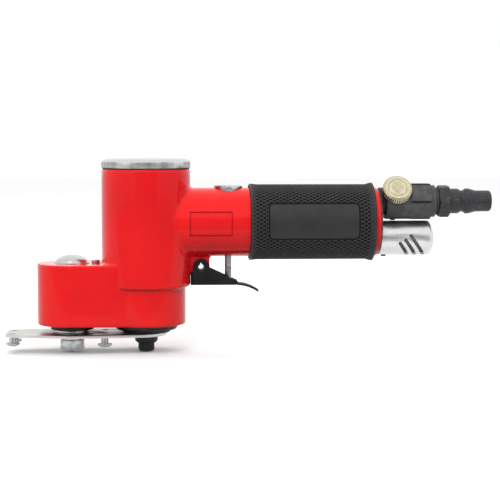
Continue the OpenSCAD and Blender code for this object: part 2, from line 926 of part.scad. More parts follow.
module regulator_knob() {
    notch = 0.55;
    count = 30;
    color("gold") on_knob_axis() translate([0, 0, knob_gap]) difference() {
        linear_extrude(knob_t) difference() {
            circle(r = knob_r);
            for (i = [0:count - 1]) rotate(i * 360 / count)
                translate([knob_r + notch * 0.3, 0]) rotate(45)
                    square(notch * 1.6, center = true);
        }
        translate([0, 0, -1]) cylinder(r = 2.5, h = knob_t - 0.6);
    }
}

module regulator_spindle() {
    oring_z = regulator_oring_z;
    color("gold") on_knob_axis() difference() {
        union() {
            rod(3, -5, knob_gap - 0.1);
            rod(2.5 - fit, knob_gap - 0.2, knob_gap + knob_t - 1.7);
        }
        ring(5, 2.1, oring_z - 0.7, oring_z + 0.7);
        rotate([0, 90, 0]) translate([0, 0, -4]) cylinder(r = 2, h = 8);
    }
}

module regulator_oring() {
    color("black") on_knob_axis() oring(2.12, 3 + run - fit, regulator_oring_z);
}

module regulator_stop_screw() {
    color("black") along_x(0, inlet_z) translate([0, 0, knob_x - 1]) rotate([0, 90, 0]) {
        rod(1.2 - fit, 9.2, 10.1);
        rod(1.45, 10.05, 10.8);
    }
}

module plug_seal_washer() {
    color("dimgray") along_x(0, inlet_z)
        ring(7.7, regulator_bore_r + fit, regulator_end + regulator_neck, plug_x);
}

module air_plug() {
    tip = plug_reach;
    color("dimgray") along_x(0, inlet_z) difference() {
        union() {
            rod(regulator_bore_r - fit, plug_x - 6, plug_x + eps);
            intersection() {
                rotate(96) hex_rod(plug_af, plug_x, plug_x + 6.7);
                translate([0, 0, plug_x - 1])
                    cylinder(r1 = plug_af / 2, r2 = plug_af / 2 + 10, h = 10);
                translate([0, 0, plug_x - 2.3])
                    cylinder(r1 = plug_af / 2 + 10, r2 = plug_af / 2, h = 10);
            }
            rotate_extrude() polygon([
                [0, plug_x + 6], [7.1, plug_x + 6], [7.1, plug_x + 11.8], [6.6, plug_x + 12.3],
                [6.05, plug_x + 13.2], [6.05, plug_x + 14.6], [7.2, plug_x + 15.7],
                [7.2, plug_x + 17.8], [nose_r, plug_x + 21.8], [nose_r, tip - 1.4],
                [nose_r - 0.4, tip - 0.4], [nose_r - 1.4, tip], [0, tip],
            ]);
        }
        rod(3.6, plug_x - 7, tip + 1);
    }
}

// One slanted slot through the muffler's side; s is its middle along the tube
module muffler_slot(s, low, high) {
    slot_w = 1.9;
    rise = 54;
    length = (high - low) / sin(rise);
    place() translate([s, -1, muffler_z + (low + high) / 2])
        rotate([90, 0, 0]) linear_extrude(12) rotate(-rise) {
            square([length, slot_w], center = true);
            for (end = [-1, 1]) translate([end * length / 2, 0]) circle(r = slot_w / 2);
        }
}

module muffler_tube() {
    wall = 1.3;
    dome = [2.9, 5.2];      // length and height of the rounded end
    color("silver") difference() {
        along_x(0, muffler_z) rotate_extrude() polygon([
            [muffler_r - wall, rear_x], [muffler_r, rear_x],
            for (a = [0:9:90]) [muffler_r - dome.y * (1 - cos(a)),
                                muffler_end - dome.x * (1 - sin(a))],
            [3, muffler_end], [3, muffler_end - wall],
            [muffler_r - dome.y, muffler_end - wall],
            [muffler_r - wall - 1, muffler_end - dome.x + 0.3],
            [muffler_r - wall, muffler_end - dome.x - 0.6],
        ]);
        muffler_slot(146, -9, -2.6);
        muffler_slot(149.8, -9, -0.8);
        muffler_slot(153.6, -9, 1.6);
        place() translate([rear_x + 3, 0, muffler_z]) rod(1.4, -muffler_r - 1, -5);
    }
}

module muffler_felt() {
    color("wheat") along_x(0, muffler_z)
        ring(muffler_r - 1.4, 4.5, rear_x + 7, muffler_end - 3.6);
}

module muffler_set_screw() {
    color("black") place() translate([rear_x + 3, 0, muffler_z])
        rod(1.4 - fit, -muffler_r - 0.7, -muffler_r + 1.2);
}

// ---------- nodes ----------

housing();
motor_cap();
cap_gasket();
motor_liner();
upper_end_plate();
lower_end_plate();
liner_dowel();
motor_bearing_outer_races();
motor_bearing_inner_races();
motor_bearing_balls();
rotor();
rotor_vanes();
crank_shaft();
counterweight();
counterweight_screws();
drive_nut();
main_hub_inner_race();
main_hub();
front_hub();
plate_bearing_outer_races();
plate_bearing_balls();
pad_plate();
pad_screws();
idler_crank();
front_bolt();
bolt_spring_washer();
bolt_bush();
front_hub_inner_race();
head_bearing_outer_races();
head_bearing_inner_races();
head_bearing_balls();
head_circlip();
head_dust_seal();
head_dome_cap();
head_lock_screw();
grip_sleeve();
valve_cap();
valve_cap_oring();
valve_bushing();
valve_stem();
valve_head();
valve_spring();
stem_oring();
throttle_lever();
lever_pin();
rear_plate();
inlet_bushing();
inlet_screen();
regulator_body();
regulator_knob();
regulator_spindle();
regulator_oring();
regulator_stop_screw();
plug_seal_washer();
air_plug();
muffler_tube();
muffler_felt();
muffler_set_screw();
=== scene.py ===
"""Air-powered orbital hand tool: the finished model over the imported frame.

Every size is in millimetres and measured from the motor's axis and the lowest point of
the drive nut, until the bench turns it into metres.
"""

from __future__ import annotations

import json
import logging
import math
from collections.abc import Callable, Iterable, Sequence
from dataclasses import dataclass
from enum import Enum

import bmesh
import bpy
from mathutils import Matrix, Vector

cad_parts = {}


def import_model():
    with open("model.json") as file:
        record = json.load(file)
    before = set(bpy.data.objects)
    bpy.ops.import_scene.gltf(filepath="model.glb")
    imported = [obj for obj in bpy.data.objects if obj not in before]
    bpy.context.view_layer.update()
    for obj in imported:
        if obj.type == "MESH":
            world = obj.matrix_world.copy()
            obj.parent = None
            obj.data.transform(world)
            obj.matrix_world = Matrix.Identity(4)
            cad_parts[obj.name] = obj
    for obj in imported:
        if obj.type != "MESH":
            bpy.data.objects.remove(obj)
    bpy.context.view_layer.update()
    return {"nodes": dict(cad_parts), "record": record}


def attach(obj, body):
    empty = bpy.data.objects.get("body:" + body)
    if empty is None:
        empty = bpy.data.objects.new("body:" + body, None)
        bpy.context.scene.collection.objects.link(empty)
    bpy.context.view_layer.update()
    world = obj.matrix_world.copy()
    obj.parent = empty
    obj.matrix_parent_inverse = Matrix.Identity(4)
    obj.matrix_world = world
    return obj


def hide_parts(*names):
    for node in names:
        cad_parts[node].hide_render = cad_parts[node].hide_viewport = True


MM = 0.001
MOTOR_X = -59.0
LOG = logging.getLogger("air_tool")

Point = tuple[float, float]
Colour = tuple[float, float, float, float]


# ---------- shader maths ----------


class Wire:
    """One output of a shader node, which plain arithmetic works on."""

    def __init__(self, recipe: Recipe, socket: bpy.types.NodeSocket) -> None:
        """Keep the recipe that owns the node, and the node's output."""
        self.recipe = recipe
        self.socket = socket

    def _math(self, operation: str, first: object, second: object) -> Wire:
        """Add one Math node to the recipe."""
        return self.recipe.node(
            "ShaderNodeMath", {"operation": operation}, {0: first, 1: second}
        )

    def __add__(self, other: object) -> Wire:
        """Sum with a number or another wire."""
        return self._math("ADD", self, other)

    def __radd__(self, other: object) -> Wire:
        """Sum with a number on the left."""
        return self._math("ADD", other, self)

    def __sub__(self, other: object) -> Wire:
        """Difference from a number or another wire."""
        return self._math("SUBTRACT", self, other)

    def __rsub__(self, other: object) -> Wire:
        """Difference with a number on the left."""
        return self._math("SUBTRACT", other, self)

    def __mul__(self, other: object) -> Wire:
        """Product with a number or another wire."""
        return self._math("MULTIPLY", self, other)

    def __rmul__(self, other: object) -> Wire:
        """Product with a number on the left."""
        return self._math("MULTIPLY", other, self)

    def __pow__(self, other: object) -> Wire:
        """Power of a number or another wire."""
        return self._math("POWER", self, other)


class Recipe:
    """A material under construction: one shader and the nodes that feed it."""

    def __init__(self, name: str) -> None:
        """Start an empty material.

        Args:
            name: the material's name.
        """
        self.material = bpy.data.materials.new(name)
        self.material.use_nodes = True
        self.tree = self.material.node_tree
        self.tree.nodes.clear()

    def node(
        self,
        kind: str,
        settings: dict[str, object] | None = None,
        inputs: dict[object, object] | None = None,
        output: int | str = 0,
    ) -> Wire:
        """Add any node.

        Args:
            kind: the node's type.
            settings: its own settings; "stops" holds a ramp's places and colours.
            inputs: values or wires, by socket name or number.
            output: which output to hand back.

        Returns:
            The chosen output.
        """
        made = self.tree.nodes.new(kind)
        for name, value in (settings or {}).items():
            if name == "stops":
                self._set_stops(made.color_ramp, value)
            else:
                setattr(made, name, value)
        for key, value in (inputs or {}).items():
            if isinstance(value, Wire):
                self.tree.links.new(value.socket, made.inputs[key])
            else:
                made.inputs[key].default_value = value
        return Wire(self, made.outputs[output])

    @staticmethod
    def _set_stops(ramp: bpy.types.ColorRamp, stops: Sequence[tuple[float, Colour]]) -> None:
        """Give a colour ramp its stops."""
        while len(ramp.elements) < len(stops):
            ramp.elements.new(0.5)
        for element, (place, colour) in zip(ramp.elements, stops):
            element.position = place
            element.color = colour

    def place(self) -> Wire:
        """Position on the tool, in metres."""
        return self.node("ShaderNodeTexCoord", output="Object")

    def vector(self, operation: str, first: object, second: object, output: int | str = 0) -> Wire:
        """Add one Vector Math node."""
        return self.node("ShaderNodeVectorMath", {"operation": operation},
                         {0: first, 1: second}, output)

    def noise(self, size: float, detail: float = 2.0, at: Wire | None = None,
              stretch: tuple[float, float, float] = (1.0, 1.0, 1.0)) -> Wire:
        """Add a noise whose lumps are about one size across.

        Args:
            size: lump size in mm.
            detail: how many finer layers it has.
            at: where it is read, or None for the place on the tool.
            stretch: how many times longer the lumps are along each axis.

        Returns:
            A value about 0.5.
        """
        where = at or self.place()
        if stretch != (1.0, 1.0, 1.0):
            where = self.vector("DIVIDE", where, stretch)
        return self.node("ShaderNodeTexNoise", {"noise_dimensions": "3D"},
                         {"Vector": where, "Scale": 1 / (size * MM), "Detail": detail})

    def step(self, value: Wire, low: float, high: float,
             start: float = 0.0, end: float = 1.0) -> Wire:
        """Rise smoothly from start to end while a value goes from low to high."""
        return self.node("ShaderNodeMapRange", {"interpolation_type": "SMOOTHSTEP"},
                         {"Value": value, "From Min": low, "From Max": high,
                          "To Min": start, "To Max": end})

    def tint(self, first: object, second: object, factor: Wire) -> Wire:
        """Mix two colours by a factor."""
        return self.node("ShaderNodeMix", {"data_type": "RGBA"},
                         {0: factor, 6: first, 7: second}, 2)

    def bump(self, height: Wire, depth: float, under: Wire | None = None) -> Wire:
        """Turn a height of 0 to 1 into relief of a depth in mm, over another relief."""
        inputs: dict[object, object] = {"Height": height, "Distance": depth * MM,
                                        "Strength": 1.0}
        if under is not None:
            inputs["Normal"] = under
        return self.node("ShaderNodeBump", None, inputs)

    def around(self, centre: Sequence[float], axis: Sequence[float]) -> tuple[Wire, Wire]:
        """Measure from a turning axis.

        Args:
            centre: a point on the axis, in mm.
            axis: the axis's direction.

        Returns:
            The distance from the axis and the distance along it, in metres.
        """
        local = self.vector("SUBTRACT", self.place(), [c * MM for c in centre])
        along = self.vector("DOT_PRODUCT", local, list(axis), "Value")
        reach = self.vector("DOT_PRODUCT", local, local, "Value")
        return (reach - along * along) ** 0.5, along

    def rings(self, centre: Sequence[float], axis: Sequence[float], size: float) -> Wire:
        """Fine turning marks round an axis, a size in mm apart."""
        radius, along = self.around(centre, axis)
        return self.node("ShaderNodeTexNoise", {"noise_dimensions": "1D"},
                         {"W": radius + along * 0.83, "Scale": 1 / (size * MM),
                          "Detail": 3.0})

    def finish(self, **sockets: object) -> bpy.types.Material:
        """Close the recipe with one surface shader.

        Args:
            sockets: values or wires by socket name, with _ for a space.

        Returns:
            The finished material.
        """
        named = {key.replace("_", " "): value for key, value in sockets.items()}
        shader = self.node("ShaderNodeBsdfPrincipled", None, named)
        self.node_output(shader)
        return self.material

    def node_output(self, shader: Wire) -> None:
        """Lead a shader to the material's output."""
        out = self.tree.nodes.new("ShaderNodeOutputMaterial")
        self.tree.links.new(shader.socket, out.inputs["Surface"])


# ---------- finishes ----------


class Lay(Enum):
    """Which way the marks of a metal's last machining run."""

    TURNED = "turned"
    BRUSHED = "brushed"
    CAST = "cast"
    GROUND = "ground"


def grey(value: float, warmth: float = 0.0) -> Colour:
    """A grey, a little warmer above 0 and cooler below."""
    return (value * (1 + warmth), value, value * (1 - warmth), 1.0)


@dataclass(frozen=True)
class GlossPaint:
    """Baked gloss paint over a casting, with painted shade darkening it along the sunk panel's
    edge.
    """

    name: str
    colour: Colour
    shade: Colour
    # Dark red painted along the sunk panel's outline: painted shade
    outline_shade: Colour
    # The panel's middle (x, z) and half its length and height
    panel: tuple[float, float, float, float] = (MOTOR_X + 36.3, 73.5, 11.7, 6.65)
    coat: float = 1.0

    def painted_outline_mask(self, mix: Recipe) -> Wire:
        """Where the painted shade falls: 1 along the outline of the sunk panels, 0 elsewhere."""
        middle_x, middle_z, half_x, half_z = self.panel
        local = mix.vector("ABSOLUTE", mix.vector(
            "SUBTRACT", mix.place(), (middle_x * MM, 0.0, middle_z * MM)), (0.0, 0.0, 0.0))
        parts = [mix.node("ShaderNodeSeparateXYZ", None, {0: local}, axis) for axis in (0, 2)]
        across = parts[0] - half_x * MM
        up = parts[1] - half_z * MM
        off = mix.node("ShaderNodeMath", {"operation": "MAXIMUM"}, {0: across, 1: up})
        gap = mix.node("ShaderNodeMath", {"operation": "ABSOLUTE"}, {0: off})
        return mix.step(gap, 0.16 * MM, 0.34 * MM, 0.75, 0.0)

    def paint(self) -> bpy.types.Material:
        """Build the material."""
        mix = Recipe(self.name)
        cloud = mix.noise(34.0, 2.0)
        speck = mix.noise(0.9, 2.0)
        colour = mix.tint(self.colour, self.shade, mix.step(cloud * 0.8 + speck * 0.2, 0.42, 0.66))
        # Painted shade: darken the paint along the outline of the sunk panel
        colour = mix.tint(colour, self.outline_shade, self.painted_outline_mask(mix))
        peel = mix.bump(mix.noise(1.7, 1.0), 0.006)
        wipe = mix.noise(14.0, 2.0)
        return mix.finish(
            Base_Color=colour, Roughness=mix.step(wipe, 0.35, 0.7, 0.26, 0.3),
            Coat_Weight=self.coat, Coat_Roughness=0.07, Coat_IOR=1.24,
            Specular_IOR_Level=0.08, Normal=peel,
        )


@dataclass(frozen=True)
class Metal:
    """Bare or plated metal with the marks of its machining.

    The clouds in its tone can be drawn out along an axis (run) and kept to the side of a
    turned piece of one radius (rim).
    """

    name: str
    colour: Colour
    shade: Colour
    roughness: tuple[float, float]
    lay: Lay = Lay.TURNED
    grain: float = 0.35
    depth: float = 0.006
    centre: tuple[float, float, float] = (MOTOR_X, 0.0, 0.0)
    axis: tuple[float, float, float] = (0.0, 0.0, 1.0)
    stain: float = 9.0
    run: tuple[float, float, float] = (1.0, 1.0, 1.0)
    rim: float = 0.0

    def marks(self, mix: Recipe) -> Wire:
        """The height of the machining marks, 0 to 1."""
        if self.lay is Lay.TURNED:
            return mix.rings(self.centre, self.axis, self.grain)
        if self.lay is Lay.BRUSHED:
            return mix.noise(self.grain, 3.0, stretch=(30.0, 1.0, 1.0))
        if self.lay is Lay.GROUND:
            return mix.noise(self.grain, 4.0, stretch=(1.0, 8.0, 1.0))
        return mix.noise(self.grain, 3.0)

    def paint(self) -> bpy.types.Material:
        """Build the material."""
        mix = Recipe(self.name)
        marks = self.marks(mix)
        cloud = mix.noise(self.stain, 4.0, stretch=self.run)
        if self.rim:
            reach, _ = mix.around(self.centre, self.axis)
            side = mix.step(reach, (self.rim - 0.5) * MM, (self.rim - 0.1) * MM)
            cloud = cloud * side + (1.0 - side) * 0.4
        patch = mix.step(cloud * 0.65 + marks * 0.35, 0.36, 0.64)
        low, high = self.roughness
        return mix.finish(
            Base_Color=mix.tint(self.colour, self.shade, patch),
            Roughness=mix.step(marks * 0.5 + cloud * 0.5, 0.3, 0.7, low, high),
            Metallic=1.0,
            Normal=mix.bump(marks, self.depth),
        )


@dataclass(frozen=True)
class Rubber:
    """Moulded rubber or plastic: satin, with a fine skin and a little dust."""

    name: str
    colour: Colour
    shade: Colour
    roughness: tuple[float, float] = (0.42, 0.6)
    skin: float = 0.22
    depth: float = 0.02
    gleam: float = 0.3

    def paint(self) -> bpy.types.Material:
        """Build the material."""
        mix = Recipe(self.name)
        skin = mix.noise(self.skin, 3.0)
        cloud = mix.noise(7.0, 4.0)
        dust = mix.step(cloud * 0.6 + skin * 0.4, 0.4, 0.62)
        low, high = self.roughness
        return mix.finish(
            Base_Color=mix.tint(self.colour, self.shade, dust),
            Roughness=mix.step(cloud, 0.3, 0.7, low, high),
            Specular_IOR_Level=self.gleam,
            Normal=mix.bump(skin, self.depth),
        )


@dataclass(frozen=True)
class GripRubber:
    """Moulded lattice: painted shade keeps the pits dark, and a painted highlight makes the ribs
    grey.

    Low and high are the radii of the pits' floor and of the ribs' top, in mm.
    """

    name: str
    # The pit colour is painted shade, the rib colour a painted highlight
    pit: Colour
    rib: Colour
    low: float
    high: float
    axis_z: float = 73.5

    def paint(self) -> bpy.types.Material:
        """Build the material."""
        mix = Recipe(self.name)
        skin = mix.noise(0.22, 3.0)
        cloud = mix.noise(9.0, 3.0)
        reach, _ = mix.around((0.0, 0.0, self.axis_z), X_AXIS)
        height = mix.step(reach, self.low * MM, self.high * MM)
        return mix.finish(
            # Painted shade in the pits, rising to a painted highlight on the ribs' tops
            Base_Color=mix.tint(self.pit, self.rib, height * mix.step(cloud, 0.2, 0.7, 0.75, 1.0)),
            Roughness=mix.step(height, 0.0, 1.0, 0.85, 0.46),
            Specular_IOR_Level=0.35,
            Normal=mix.bump(skin, 0.012),
        )


@dataclass(frozen=True)
class BlackOxide:
    """Blackened steel: dark, a little shiny, rubbed grey in specks."""

    name: str
    colour: Colour = (0.022, 0.022, 0.024, 1.0)
    worn: Colour = (0.13, 0.13, 0.135, 1.0)
    roughness: tuple[float, float] = (0.3, 0.48)
    grain: float = 0.55
    depth: float = 0.02
    wear: float = 0.6

    def paint(self) -> bpy.types.Material:
        """Build the material."""
        mix = Recipe(self.name)
        grain = mix.noise(self.grain, 4.0)
        cloud = mix.noise(4.0, 3.0)
        worn = mix.step(grain * 0.6 + cloud * 0.4, self.wear - 0.06, self.wear + 0.1)
        low, high = self.roughness
        return mix.finish(
            Base_Color=mix.tint(self.colour, self.worn, worn),
            Metallic=0.55,
            Roughness=mix.step(grain, 0.3, 0.7, low, high),
            Normal=mix.bump(grain, self.depth),
        )


@dataclass(frozen=True)
class KnurledBrass:
    """Turned brass: rings on the face, and painted shade with a painted reflection of the red
    casting at the bottom of the knurl.

    Groove and rim are the radii of the knurl's bottom and top, in mm.
    """

    name: str
    bright: Colour
    dull: Colour
    # Dark orange-brown painted into the knurl's grooves: painted shade with a painted reflection
    # of the red casting
    groove_shade: Colour
    centre: tuple[float, float, float]
    axis: tuple[float, float, float]
    groove: float = 7.78
    rim: float = 8.15

    def paint(self) -> bpy.types.Material:
        """Build the material."""
        mix = Recipe(self.name)
        marks = mix.rings(self.centre, self.axis, 0.7)
        cloud = mix.noise(2.2, 3.0)
        patch = mix.step(marks * 0.75 + cloud * 0.25, 0.4, 0.6)
        reach, along = mix.around(self.centre, self.axis)
        rim = mix.step(reach, (self.groove - 0.14) * MM, (self.groove - 0.1) * MM)
        rib = mix.step(reach, self.groove * MM, self.rim * MM)
        below = mix.step(along, 13.6 * MM, 13.9 * MM, 1.0, 0.0)
        face = mix.tint(self.bright, self.dull, patch)
        return mix.finish(
            # Knurl band: painted shade in the grooves, lightening to plain brass on the ribs
            Base_Color=mix.tint(face, mix.tint(self.groove_shade, self.bright, rib), rim * below),
            Roughness=mix.step(marks, 0.3, 0.7, 0.24, 0.4),
            Metallic=1.0,
            Normal=mix.bump(marks, 0.03),
        )


@dataclass(frozen=True)
class HexOxide:
    """Matt blackened hex bar whose long corners stay darker than its flats."""

    name: str
    colour: Colour
    worn: Colour
    axis_z: float
    corner: float

    def paint(self) -> bpy.types.Material:
        """Build the material."""
        mix = Recipe(self.name)
        grain = mix.noise(0.4, 4.0)
        cloud = mix.noise(5.0, 3.0)
        reach, _ = mix.around((0.0, 0.0, self.axis_z), X_AXIS)
        edge = mix.step(reach, (self.corner - 0.5) * MM, (self.corner - 0.3) * MM)
        flat = mix.tint(self.colour, self.worn, mix.step(cloud * 0.7 + grain * 0.3, 0.4, 0.62))
        return mix.finish(
            Base_Color=mix.tint(flat, grey(0.006), edge),
            Metallic=0.4,
            Roughness=mix.step(grain, 0.3, 0.7, 0.46, 0.6),
            Normal=mix.bump(grain, 0.01),
        )


@dataclass(frozen=True)
class Fibre:
    """Pressed fibre, felt or paper: matt, with short crossing threads."""

    name: str
    colour: Colour
    shade: Colour
    thread: float = 0.25

    def paint(self) -> bpy.types.Material:
        """Build the material."""
        mix = Recipe(self.name)
        one = mix.noise(self.thread, 2.0, stretch=(6.0, 1.0, 1.5))
        two = mix.noise(self.thread, 2.0, stretch=(1.0, 5.0, 1.0))
        threads = one * 0.5 + two * 0.5
        return mix.finish(
            Base_Color=mix.tint(self.colour, self.shade, mix.step(threads, 0.38, 0.6)),
            Roughness=mix.step(threads, 0.3, 0.7, 0.75, 0.95),
            Normal=mix.bump(threads, 0.08),
        )


KNOB_TILT = 35.0
KNOB_X = 141.7
KNOB_AXIS = (0.0, -math.cos(math.radians(KNOB_TILT)), math.sin(math.radians(KNOB_TILT)))
HEAD = (MOTOR_X - 42.0, 0.0, 0.0)
X_AXIS = (1.0, 0.0, 0.0)

FINISHES: dict[str, object] = {
    # The third colour of gloss_red is painted shade along the sunk panel's outline
    "red_paint": GlossPaint("gloss_red", (0.76, 0.009, 0.010, 1.0), (0.68, 0.008, 0.011, 1.0),
                            (0.22, 0.003, 0.008, 1.0)),
    "turned_aluminium": Metal("turned_cap", grey(0.80), grey(0.36), (0.26, 0.38),
                              grain=0.5, depth=0.004, stain=8.0, run=(1.0, 1.0, 40.0),
                              rim=25.2),
    "cast_aluminium": Metal("cast_alloy", grey(0.72), grey(0.58), (0.35, 0.55), Lay.CAST,
                            grain=0.8, depth=0.03),
    "satin_steel": Metal("satin_steel", grey(0.72), grey(0.58), (0.24, 0.38),
                         grain=0.4, centre=HEAD),
    "polished_plate": Metal("polished_plate", grey(0.74, 0.03), grey(0.64, 0.04), (0.3, 0.42),
                            Lay.BRUSHED, grain=0.16, depth=0.002, stain=14.0),
    "zinc_steel": Metal("bright_zinc", grey(0.62, -0.02), (0.44, 0.46, 0.49, 1.0), (0.18, 0.36),
                        Lay.CAST, grain=0.7, depth=0.012, stain=2.5),
    "bearing_steel": Metal("bearing_steel", grey(0.7), grey(0.6), (0.08, 0.16), grain=0.2,
                           depth=0.002),
    "motor_steel": Metal("ground_steel", grey(0.5), grey(0.4), (0.22, 0.36), Lay.GROUND,
                         grain=0.3),
    "liner_iron": Metal("honed_iron", grey(0.34, 0.03), grey(0.26), (0.3, 0.5), Lay.CAST,
                        grain=0.5, depth=0.02),
    "vane_fibre": Fibre("vane_fibre", (0.16, 0.075, 0.03, 1.0), (0.09, 0.04, 0.018, 1.0)),
    # turned_brass's third colour is painted shade with a painted red reflection in the knurl's
    # grooves
    "brass": KnurledBrass("turned_brass", (0.86, 0.80, 0.60, 1.0), (0.56, 0.50, 0.32, 1.0),
                          (0.24, 0.08, 0.024, 1.0), (MOTOR_X + KNOB_X, 0.0, 85.1), KNOB_AXIS),
    "black_oxide": BlackOxide("black_oxide"),
    "black_paint": Rubber("satin_black", (0.008, 0.008, 0.009, 1.0), (0.014, 0.014, 0.015, 1.0),
                          (0.4, 0.5), skin=0.6, depth=0.01, gleam=0.16),
    # grip_rubber's two colours are painted shade in the pits and a painted highlight on the ribs
    "grip_rubber": GripRubber("grip_rubber", grey(0.002), (0.027, 0.026, 0.028, 1.0),
                              20.8, 21.3),
    "seal_rubber": Rubber("seal_rubber", (0.010, 0.010, 0.010, 1.0), (0.018, 0.018, 0.018, 1.0),
                          (0.28, 0.45), skin=0.5, depth=0.01),
    "gasket_fibre": Fibre("gasket_fibre", (0.035, 0.035, 0.037, 1.0), (0.06, 0.06, 0.062, 1.0)),
    "spring_steel": Metal("spring_wire", grey(0.5), grey(0.42), (0.2, 0.35), Lay.GROUND,
                          grain=0.2),
    "felt": Fibre("wool_felt", (0.17, 0.17, 0.17, 1.0), (0.10, 0.10, 0.105, 1.0), 0.35),
    "rear_zinc": Metal("dull_zinc", (0.16, 0.15, 0.13, 1.0), (0.10, 0.095, 0.085, 1.0),
                       (0.4, 0.55), grain=0.5, centre=(0.0, 0.0, 73.5), axis=X_AXIS),
    "screen_steel": Metal("woven_screen", grey(0.5), grey(0.36), (0.3, 0.45), Lay.CAST,
                          grain=0.3, depth=0.03),
    # Finer looks for single pieces that share a slot with others
    "stem_steel": Metal("dull_stem", grey(0.36), grey(0.24), (0.28, 0.4), grain=0.6,
                        centre=(MOTOR_X + 46.6, 0.0, 0.0)),
    "muffler_aluminium": Metal("drawn_muffler", grey(0.86), grey(0.76), (0.27, 0.36),
                               grain=0.6, depth=0.003, centre=(0.0, 0.0, 64.2), axis=X_AXIS),
    "regulator_oxide": HexOxide("matt_oxide", (0.066, 0.063, 0.067, 1.0),
                                (0.10, 0.096, 0.10, 1.0), 85.1, 11.55),
    "plug_oxide": BlackOxide("speckled_oxide", (0.045, 0.044, 0.047, 1.0),
                             (0.13, 0.13, 0.135, 1.0), (0.36, 0.52), 0.9, 0.03, 0.6),
}


class Paintshop:
    """Makes each finish once and puts it on pieces."""

    def __init__(self) -> None:
        """Start with no finish made."""
        self.made: dict[str, bpy.types.Material] = {}

    def finish(self, name: str) -> bpy.types.Material:
        """The material of a finish, made the first time it is asked for."""
        if name not in self.made:
            self.made[name] = FINISHES[name].paint()
        return self.made[name]

    def dress(self, piece: bpy.types.Object, name: str) -> None:
        """Give a new piece one finish all over."""
        piece.data.materials.clear()
        piece.data.materials.append(self.finish(name))

    def dress_frame(self, nodes: dict[str, bpy.types.Object], slots: dict[str, str]) -> None:
        """Give each node of the frame the finish of its material slot.

        Args:
            nodes: the frame's nodes by name.
            slots: the slot of each node.
        """
        for name, node in nodes.items():
            for holder in node.material_slots:
                holder.material = self.finish(slots[name])


# ---------- the bench ----------


def spot(x: float, y: float, z: float, turn: Matrix | None = None) -> Matrix:
    """Where a shape goes, measured from the motor's axis, and how it is turned."""
    move = Matrix.Translation(Vector((MOTOR_X + x, y, z)) * MM)
    return move @ (turn or Matrix.Identity(4))


LYING = Matrix.Rotation(math.radians(90), 4, "Y")
ACROSS = Matrix.Rotation(math.radians(90), 4, "X")


